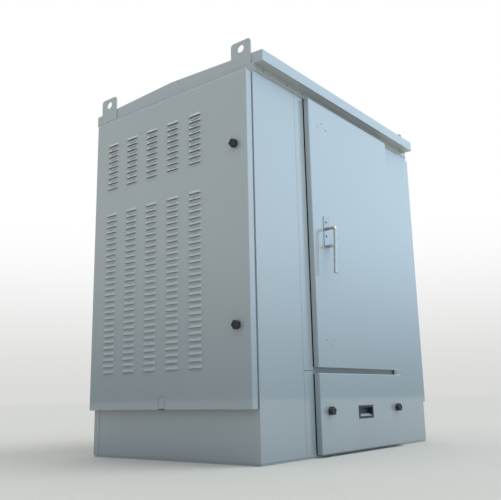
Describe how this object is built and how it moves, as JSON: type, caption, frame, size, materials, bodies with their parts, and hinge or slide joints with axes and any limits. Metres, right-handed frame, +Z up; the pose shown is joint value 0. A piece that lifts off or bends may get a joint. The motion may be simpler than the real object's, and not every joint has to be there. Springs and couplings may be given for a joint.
{
  "type": "roadside utility cabinet",
  "caption": "Grey sheet-metal street cabinet with a lever-latched main door, a lift-off battery cover, louvred side doors, a ridged roof and lifting lugs.",
  "frame": {"origin": "centre of the base's underside, between the four anchor holes", "axes": "+Z up, front (main door) towards -Y, louvred side doors at -X and +X"},
  "size_m": [1.428, 1.025, 1.608],
  "materials": {
    "painted": "light grey powder coat, satin, fine texture",
    "zinc": "bright zinc-coated sheet",
    "stainless": "brushed stainless steel",
    "black_plastic": "black moulded plastic, fine grain",
    "gasket_rubber": "black cellular rubber",
    "filter_mat": "dark grey open filter mat",
    "earth_copper": "plain copper"
  },
  "bodies": {
    "cabinet": {"base_ring": "painted", "floor_plate": "zinc", "gland_plate": "zinc", "sill_rail": "painted", "mid_rail": "painted", "top_rail": "painted", "corner_post_front_left": "painted", "corner_post_front_right": "painted", "corner_post_rear_left": "painted", "corner_post_rear_right": "painted", "lock_strip_upper": "painted", "lock_strip_lower": "painted", "hinge_post": "painted", "front_panel_left": "painted", "front_panel_right": "painted", "header_strip": "painted", "rear_panel": "painted", "panel_screws": "zinc", "side_wall_left": "painted", "side_wall_right": "painted", "filter_left": "filter_mat", "filter_right": "filter_mat", "partition_left": "zinc", "partition_right": "zinc", "compartment_shelf": "zinc", "rack_rail_left": "zinc", "rack_rail_right": "zinc", "rack_crossbars": "zinc", "earth_bar": "earth_copper", "top_plate": "zinc", "roof": "painted", "lug_front_left": "painted", "lug_front_right": "painted", "lug_rear_left": "painted", "lug_rear_right": "painted", "door_hinge_pins": "stainless", "side_hinge_pins": "stainless", "latch_receptacles": "zinc"},
    "main_door": {"main_door": "painted", "door_gasket": "gasket_rubber", "door_hinge_wings": "stainless", "handle_plate": "stainless", "handle_bolts": "stainless", "rod_guides": "zinc", "guide_rivets": "painted"},
    "handle": {"handle_lever": "stainless", "latch_cam": "zinc"},
    "upper_latch_rod": {"upper_rod": "zinc"},
    "lower_latch_rod": {"lower_rod": "zinc"},
    "battery_cover": {"battery_cover": "painted", "cover_gasket": "gasket_rubber", "flush_pull": "black_plastic"},
    "left_cover_knob": {"cover_knob_left": "black_plastic"},
    "right_cover_knob": {"cover_knob_right": "black_plastic"},
    "left_side_door": {"side_door_left": "painted"},
    "right_side_door": {"side_door_right": "painted"},
    "left_upper_knob": {"knob_left_upper": "black_plastic"},
    "left_lower_knob": {"knob_left_lower": "black_plastic"},
    "right_upper_knob": {"knob_right_upper": "black_plastic"},
    "right_lower_knob": {"knob_right_lower": "black_plastic"}
  },
  "joints": [
    {"name": "main_door_hinge", "type": "hinge", "parent": "cabinet", "child": "main_door", "pos_m": [0.391, -0.454, 0.9], "axis": [0, 0, 1], "range_deg": [0, 120]},
    {"name": "handle_turn", "type": "hinge", "parent": "main_door", "child": "handle", "pos_m": [-0.218, -0.471, 0.9065], "axis": [0, -1, 0], "range_deg": [0, 90]},
    {"name": "upper_rod_slide", "type": "slide", "parent": "main_door", "child": "upper_latch_rod", "axis": [0, 0, -1], "range_m": [0, 0.0354]},
    {"name": "lower_rod_slide", "type": "slide", "parent": "main_door", "child": "lower_latch_rod", "axis": [0, 0, 1], "range_m": [0, 0.0354]},
    {"name": "cover_lift_off", "type": "slide", "parent": "cabinet", "child": "battery_cover", "axis": [0, -1, 0], "range_m": [0, 0.3]},
    {"name": "left_cover_knob_turn", "type": "hinge", "parent": "battery_cover", "child": "left_cover_knob", "pos_m": [-0.25, -0.471, 0.17], "axis": [0, -1, 0], "range_deg": [0, 90]},
    {"name": "right_cover_knob_turn", "type": "hinge", "parent": "battery_cover", "child": "right_cover_knob", "pos_m": [0.317, -0.471, 0.17], "axis": [0, -1, 0], "range_deg": [0, 90]},
    {"name": "left_side_door_hinge", "type": "hinge", "parent": "cabinet", "child": "left_side_door", "pos_m": [-0.674, 0.431, 0.824], "axis": [0, 0, -1], "range_deg": [0, 100]},
    {"name": "right_side_door_hinge", "type": "hinge", "parent": "cabinet", "child": "right_side_door", "pos_m": [0.674, 0.431, 0.824], "axis": [0, 0, 1], "range_deg": [0, 100]},
    {"name": "left_upper_knob_turn", "type": "hinge", "parent": "left_side_door", "child": "left_upper_knob", "pos_m": [-0.694, -0.381, 1.166], "axis": [-1, 0, 0], "range_deg": [0, 90]},
    {"name": "left_lower_knob_turn", "type": "hinge", "parent": "left_side_door", "child": "left_lower_knob", "pos_m": [-0.694, -0.381, 0.482], "axis": [-1, 0, 0], "range_deg": [0, 90]},
    {"name": "right_upper_knob_turn", "type": "hinge", "parent": "right_side_door", "child": "right_upper_knob", "pos_m": [0.694, -0.381, 1.166], "axis": [1, 0, 0], "range_deg": [0, 90]},
    {"name": "right_lower_knob_turn", "type": "hinge", "parent": "right_side_door", "child": "right_lower_knob", "pos_m": [0.694, -0.381, 0.482], "axis": [1, 0, 0], "range_deg": [0, 90]}
  ],
  "couplings": [
    {"joint": "upper_rod_slide", "follows": "handle_turn", "m_per_rad": 0.022508},
    {"joint": "lower_rod_slide", "follows": "handle_turn", "m_per_rad": 0.022508}
  ]
}
